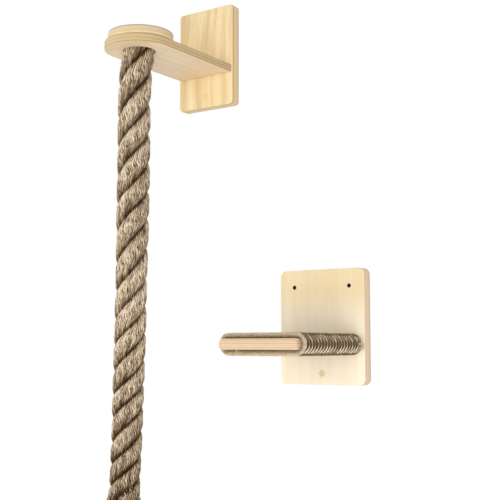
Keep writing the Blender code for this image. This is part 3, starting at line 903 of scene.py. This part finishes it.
def make_rope_fuzz(rope, material):
    """Thin stray fibres on the rope."""
    rng = np.random.default_rng(rope_fuzz_seed)
    builder = Builder()
    along = np.linspace(0.0, 1.0, fibre_steps)
    for _ in range(rope_fibres):
        start = rng.uniform(rope_fibre_clear_top, rope_length - rope_fibre_clear_end)
        reach = rng.uniform(*rope_fibre_length) * rng.choice((-1.0, 1.0))
        drops = np.clip(start + reach * along, rope_fibre_least_drop, rope_length)
        angle = rng.uniform(0.0, 2 * np.pi) + rng.uniform(-rope_fibre_turn, rope_fibre_turn) * along
        strand_place = (angle - rope.turn(drops)) * strand_count / (2 * np.pi)
        beside = np.abs(strand_place - np.round(strand_place))
        sunk = rope_groove_depth_share * (2 * beside) ** rope_groove_power
        surface = rope_diameter / 2 * rope.girth(drops) * (1.0 - sunk)
        lift = rng.uniform(*rope_fibre_lift_mm) * MM * along**rope_fibre_lift_power
        path = rope.at(drops, surface - rope_fibre_sink + lift, angle)
        builder.hair(path, fibre_radius * rng.uniform(*rope_fibre_sizes))
    return builder.object("climbing_rope_fuzz", material)


def wrap_line():
    """The winding's centreline, as in part.py: out of one hole, round the board, into another."""
    low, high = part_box("step_board")
    plate_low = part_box("step_wall_plate")[0]
    width = high.x - low.x
    height = high.z - low.z
    cord_radius = wrap_cord_diameter / 2
    offset = cord_radius + wrap_clearance
    half_width = width / 2 + offset
    half_height = height / 2 + offset
    radius = board_long_edge_radius + offset
    flat_x = half_width - radius
    flat_z = half_height - radius
    quarter = math.pi / 2 * radius
    way_round = 4 * flat_x + 4 * flat_z + 4 * quarter
    start_x = wrap_start_side_share * width
    end_x = wrap_end_side_share * width
    first_y = low.y + board_bare_nose + cord_radius
    last_y = plate_low.y - wrap_plate_gap - cord_radius
    extra = (end_x - start_x) / way_round
    turns = int((last_y - first_y) / (wrap_cord_diameter + wrap_least_gap) - extra)
    pitch = (last_y - first_y) / (turns + extra)
    runs = [flat_x, quarter, 2 * flat_z, quarter, 2 * flat_x, quarter, 2 * flat_z, quarter, flat_x]
    marks = np.concatenate(([0.0], np.cumsum(runs)))
    centres = [(0.0, -flat_z), (flat_x, -flat_z), (flat_x, flat_z), (-flat_x, flat_z), (-flat_x, -flat_z)]

    def around(way):
        """(x, z) on the loop, that far on from the middle of the underside."""
        way = way % way_round
        run = min(int(np.searchsorted(marks, way, side="right")) - 1, len(runs) - 1)
        side, bend = divmod(run, 2)
        straight = (1 - bend) * (way - marks[run])
        facing = (side - 1) * math.pi / 2 + bend * (way - marks[run]) / radius
        x, z = centres[side + bend]
        x += radius * math.cos(facing) - straight * math.sin(facing)
        z += radius * math.sin(facing) + straight * math.cos(facing)
        return x, z

    def tucked_end(x, y, way):
        """Points from inside the board out to the loop at x. way is the side from which it bends in."""
        end = [(x + way * wrap_tuck_bend, y, -half_height + wrap_tuck_bend + wrap_cord_diameter)]
        for k in range(wrap_tuck_steps + 1):
            turn = math.pi / 2 * k / wrap_tuck_steps
            z = -half_height + wrap_tuck_bend * (1 - math.sin(turn))
            end.append((x + way * wrap_tuck_bend * math.cos(turn), y, z))
        return end

    points = tucked_end(start_x, first_y, -1)[:-1]
    for way in np.arange(start_x, turns * way_round + end_x, wrap_path_step):
        x, z = around(way)
        points.append((x, first_y + pitch * (way - start_x) / way_round, z))
    points += reversed(tucked_end(end_x, last_y, 1))
    middle = Vector(((low.x + high.x) / 2, 0.0, (low.z + high.z) / 2))
    return np.array(points) + np.array(middle)


def outward_from_board(points):
    """Which way is away from the step's board, at points of the winding's centreline."""
    low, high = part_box("step_board")
    flat = np.array([(high.x - low.x) / 2, (high.z - low.z) / 2]) - board_long_edge_radius
    middle = np.array([(low.x + high.x) / 2, (low.z + high.z) / 2])
    beside = points[:, (0, 2)] - middle
    over = beside - np.clip(beside, -flat, flat)
    over /= np.maximum(np.linalg.norm(over, axis=1, keepdims=True), 1e-9)
    return np.stack([over[:, 0], np.zeros(len(points)), over[:, 1]], axis=1)


def wrap_shade(rng, line, outward, around):
    """Painted highlights as pale strokes and painted shade in the gaps on the winding and on its first turn's
    open side.
    """
    crest = (around * outward[:, None]).sum(axis=-1)
    leaning = np.degrees(np.arctan2(-around[..., 1], crest))
    wound = ((line[:, 1] - line[0, 1]) / wrap_cord_diameter)[:, None]
    up = outward[:, 2:]
    tilt = np.abs(up)
    flat = ramp(tilt, flat_tilt, flat_fade)
    from_highlight = np.abs(leaning - (highlight_place + highlight_place_by_tilt * tilt) * (1 - flat))
    # Painted highlight: a pale stroke along each turn
    highlight = ramp(from_highlight, highlight_half_width + highlight_half_width_flat * flat, -highlight_edge)
    highlight = highlight * ramp(up, underside_start, underside_fade)
    patches = smooth_noise(rng, len(line), 1, wrap_patch_rows)
    highlight = highlight * np.clip(patch_middle + patch_strength * patches, 0.0, 1.0)
    mid_height = ramp(tilt, mid_height_tilt, -mid_height_tilt)
    last_turn = ramp(wound, last_turn_start, last_turn_fade)
    highlight = highlight * (1 - mid_height_fading * mid_height)
    highlight = highlight * (1 - last_turn_fading * last_turn) * (1 - flat_fading * flat)
    # Painted shade in the gaps between turns
    between = ramp(from_highlight, gap_start, gap_fade)
    shade = (cord_shade - cord_shade_flat * flat + gap_shade * between) * (1 - highlight) - highlight
    # Painted shade along the top corner
    top_corner = ramp(np.abs(up - corner_up), corner_width, -corner_fade)
    shade = shade * (1 - top_corner) + corner_shade * top_corner
    # Open side of the first turn: painted shade towards the board, painted highlight on its outer side
    first_turn = ramp(wound, open_turn_end, -open_turn_fade)
    open_side = first_turn * np.clip(-around[..., 1] * open_side_gain, 0.0, 1.0)
    open_shade = np.clip(open_side_shade - open_side_by_crest * crest, *open_side_limits)
    return shade * (1 - open_side) + open_shade * open_side


def make_wrap(material):
    """Twisted sisal cord round the board, its mesh lines following its three strands."""
    line = resampled(wrap_line(), wrap_ring_step)
    gone, sides, overs = frames_along(line, (0.0, 1.0, 0.0))
    rng = np.random.default_rng(wrap_seed)
    count = wrap_strands * wrap_sides_per_strand
    fixed = 2 * np.pi * np.arange(count) / count
    outward = outward_from_board(line)
    first_right = np.argmax(line[:, 0] > line[:, 0].max() - wrap_side_slack)
    upright = math.copysign(math.pi / 2, overs[first_right].dot(outward[first_right]))
    laid = 2 * np.pi * (gone - gone[first_right]) / wrap_lay
    laid = laid + wrap_phase_wander * smooth_noise(rng, len(gone), 1, wrap_phase_rows)[:, 0]
    theta = fixed + laid[:, None] + upright
    lobe = np.abs(np.sin(fixed * wrap_strands / 2))
    size = 1 + wrap_size_wander * smooth_noise(rng, len(gone), 1, wrap_size_rows)
    shape = 1 - wrap_groove_depth_share * (1 - lobe) ** wrap_groove_power
    away = wrap_shown_diameter / 2 * size * shape
    around = radial(theta, sides[:, None], overs[:, None])
    rings = line[:, None] + away[..., None] * around
    fibre = fibre_places(wrap_shown_diameter / 2, fixed, gone)
    builder = Builder()
    builder.tube(rings, fibre, wrap_shade(rng, line, outward, around))
    return builder.object("step_sisal_winding", material), line


def make_wrap_fuzz(line, material):
    """Stray fibres on the winding, and the tuft beside the wall plate on the right."""
    rng = np.random.default_rng(wrap_fuzz_seed)
    builder = Builder()
    low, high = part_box("step_board")
    outward = outward_from_board(line)
    along = np.linspace(0.0, 1.0, fibre_steps)
    clear_start, clear_end = wrap_fibre_clear_rings
    for _ in range(wrap_fibres):
        start = rng.integers(clear_start, len(line) - clear_end)
        index = np.linspace(start, start + rng.integers(*wrap_fibre_rings), fibre_steps).astype(int)
        slide = rng.uniform(-1.0, 1.0)
        lift = rng.uniform(*wrap_fibre_lift_mm) * MM * along**wrap_fibre_lift_power
        way = outward[start] * (1 - wrap_fibre_lean * abs(slide)) + np.array([0.0, slide, 0.0])
        way /= np.linalg.norm(way)
        path = line[index] + way * (wrap_shown_diameter / 2 - wrap_fibre_sink)
        path = path + outward[start] * lift[:, None]
        path[:, 1] += rng.uniform(*wrap_fibre_slide_mm) * MM * along
        builder.hair(path, fibre_radius * rng.uniform(*wrap_fibre_sizes))
    middle = np.array([high.x + tuft_out, high.y - tuft_forward, (low.z + high.z) / 2 - tuft_down])
    bend = np.linspace(0.0, np.pi, tuft_loop_steps)
    for _ in range(tuft_loops):
        root = middle + rng.uniform(-1.0, 1.0, 3) * tuft_spread * MM
        reach = rng.uniform(*tuft_reach) * MM
        width = rng.uniform(*tuft_width) * MM
        tilt = rng.uniform(-tuft_tilt, tuft_tilt)
        sideways = np.array([0.0, math.sin(tilt), math.cos(tilt)])
        path = root + np.sin(bend)[:, None] * tuft_way * reach
        path = path + np.cos(bend)[:, None] * sideways * width
        radius = tuft_radius * rng.uniform(*tuft_sizes)
        builder.hair(path, radius, rng.uniform(*tuft_shades), tuft_sides)
    return builder.object("step_winding_fuzz", material)


def dress_nodes():
    """Gives each carried-over CAD node its material and smooth shading."""
    plate_low, plate_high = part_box("step_wall_plate")
    plate_middle = (plate_low + plate_high) / 2
    holes = []
    for side in (-1, 1):
        holes.append({"X": plate_middle.x + side * wall_hole_side, "Z": plate_middle.z + wall_hole_up})
    left_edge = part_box("bracket_wall_plate")[0].x
    nose_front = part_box("bracket_arm")[0].y
    # What plywood() takes: name, axis through the plies, axis along the grain, tones, edge and seed
    tables = {
        "bracket_wall_plate": ("birch_bracket_plate", "Y", "Z", birch_tones, birch_edge, 1.7),
        "bracket_arm": ("birch_arm", "Z", "Y", arm_tones, arm_edge, 4.2),
        "cap_disc": ("birch_cap", "Z", "Y", birch_tones, cap_edge, 7.9),
        "step_wall_plate": ("pale_step_plate", "Y", "Z", pale_tones, pale_edge, 11.3),
        "step_board": ("pale_board", "Z", "Y", board_tones, board_edge, 15.1),
    }
    extras = {
        "bracket_wall_plate": {
            "bands": ((0.80, 1.2, birch_edge_low),),
            "lines": upper_plate_lines,
            # Sapwood: the veneer darker towards the plate's left edge
            "sap_and_shade": (("X", left_edge + 34 * MM, left_edge + 22 * MM, 0.42),),
        },
        "bracket_arm": {
            "lines": arm_lines,
            # Painted shade: the arm darker towards its front, where the rope hangs under it
            "sap_and_shade": (("Y", nose_front + 42 * MM, nose_front + 14 * MM, 0.85),),
        },
        "cap_disc": {
            "bands": ((0.10, 0.36, cap_cream), (0.52, 1.2, cap_pink)),
            "lines": cap_lines,
        },
        "step_wall_plate": {
            "bands": ((-0.2, 0.22, pale_edge_low), (0.82, 1.2, pale_edge_low)),
            "lines": step_plate_lines,
            "bores": holes,
            # Painted shade: the plate darker towards its top
            "sap_and_shade": (("Z", plate_middle.z + 5 * MM, plate_middle.z + 58 * MM, 0.8),),
        },
        "step_board": {"lines": board_lines},
    }
    looks = {node: plywood(node, *table, **extras[node]) for node, table in tables.items()}
    smoothing = smooth_shading(sharp_edge_angle)
    plug = small_wood("plug_end_grain", *plug_tones, 0.3)
    dowel = small_wood("dowel_beech", *dowel_tones, 0.6)
    steel = screw_steel()
    for name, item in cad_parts.items():
        if name in looks:
            look = looks[name]
        elif name.startswith("bracket_plug"):
            look = looks["bracket_wall_plate"]
        elif "plug" in name:
            look = plug
        elif "dowel" in name:
            look = dowel
        else:
            look = steel
        item.data.materials.clear()
        item.data.materials.append(look)
        item.modifiers.new("smooth by angle", "NODES").node_group = smoothing


def make_floor():
    mesh = bpy.data.meshes.new("floor")
    half = floor_size / 2
    z = cad_low.z - floor_drop
    corners = [(-half, -half, z), (half, -half, z), (half, half, z), (-half, half, z)]
    mesh.from_pydata(corners, [], [(0, 1, 2, 3)])
    floor = bpy.data.objects.new("floor", mesh)
    bpy.context.collection.objects.link(floor)
    graph = Graph("pale_floor")
    camera_ray = graph.add("ShaderNodeLightPath").outputs["Is Camera Ray"]
    graph.finish(Base_Color=floor_colour, Roughness=0.8, Emission_Color=(1.0, 1.0, 1.0))
    graph.feed(graph.shader.inputs["Emission Strength"], graph.times(camera_ray, floor_glow))
    mesh.materials.append(graph.material)


def make_light():
    world = bpy.data.worlds.new("studio")
    world.use_nodes = True
    tree = world.node_tree
    tree.nodes.clear()
    output, path, pick = add_nodes(tree, "ShaderNodeOutputWorld ShaderNodeLightPath ShaderNodeMixShader")
    seen, ambient = add_nodes(tree, "ShaderNodeBackground ShaderNodeBackground")
    either = tree.nodes.new("ShaderNodeMath")
    seen.inputs["Color"].default_value = background_colour
    ambient.inputs["Color"].default_value = ambient_colour
    ambient.inputs["Strength"].default_value = ambient_strength
    either.operation = "MAXIMUM"
    link = tree.links.new
    link(path.outputs["Is Camera Ray"], either.inputs[0])
    link(path.outputs["Is Glossy Ray"], either.inputs[1])
    link(either.outputs[0], pick.inputs[0])
    link(ambient.outputs[0], pick.inputs[1])
    link(seen.outputs[0], pick.inputs[2])
    link(pick.outputs[0], output.inputs["Surface"])
    bpy.context.scene.world = world
    for name, (spot, size, power, colour) in lamps.items():
        lamp = bpy.data.lights.new(name, "AREA")
        lamp.size = size
        lamp.energy = power
        lamp.color = colour
        item = bpy.data.objects.new(name, lamp)
        item.location = spot
        item.rotation_euler = (lamp_aim - spot).to_track_quat("-Z", "Y").to_euler()
        bpy.context.collection.objects.link(item)


def make_camera():
    lens = bpy.data.cameras.new("camera")
    lens.sensor_width = sensor_width
    lens.lens = camera_focal_pixels * sensor_width / picture_width_pixels
    lens.clip_start = camera_nearest
    camera = bpy.data.objects.new("camera", lens)
    camera.location = camera_spot
    camera.rotation_euler = (math.pi / 2 + camera_pitch, 0.0, camera_yaw)
    bpy.context.collection.objects.link(camera)
    bpy.context.scene.camera = camera


make_camera()
make_light()
make_floor()
dress_nodes()

screw_low, screw_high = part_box("rope_screw")
rope_axis = (screw_low + screw_high) / 2
rope_top = Vector((rope_axis.x, rope_axis.y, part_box("climbing_rope")[1].z))
jute = fibre_material("jute_fibre", jute_tones, fleck_scale=600.0, fleck_stretch=0.14, fleck_share=0.85)
rope = Rope(rope_top)
strands = make_rope(rope, jute)
rope_fuzz = make_rope_fuzz(rope, jute)
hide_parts("climbing_rope")
[tuple(p) for p in smooth_line(rope.route, rope_path_step)]

sisal = fibre_material("sisal_fibre", sisal_tones, fleck_scale=800.0, fleck_stretch=0.25, fleck_share=0.35)
winding, winding_line = make_wrap(sisal)
make_wrap_fuzz(winding_line, sisal)
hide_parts("step_rope_wrap")

bpy.context.scene.view_settings.view_transform = "Standard"
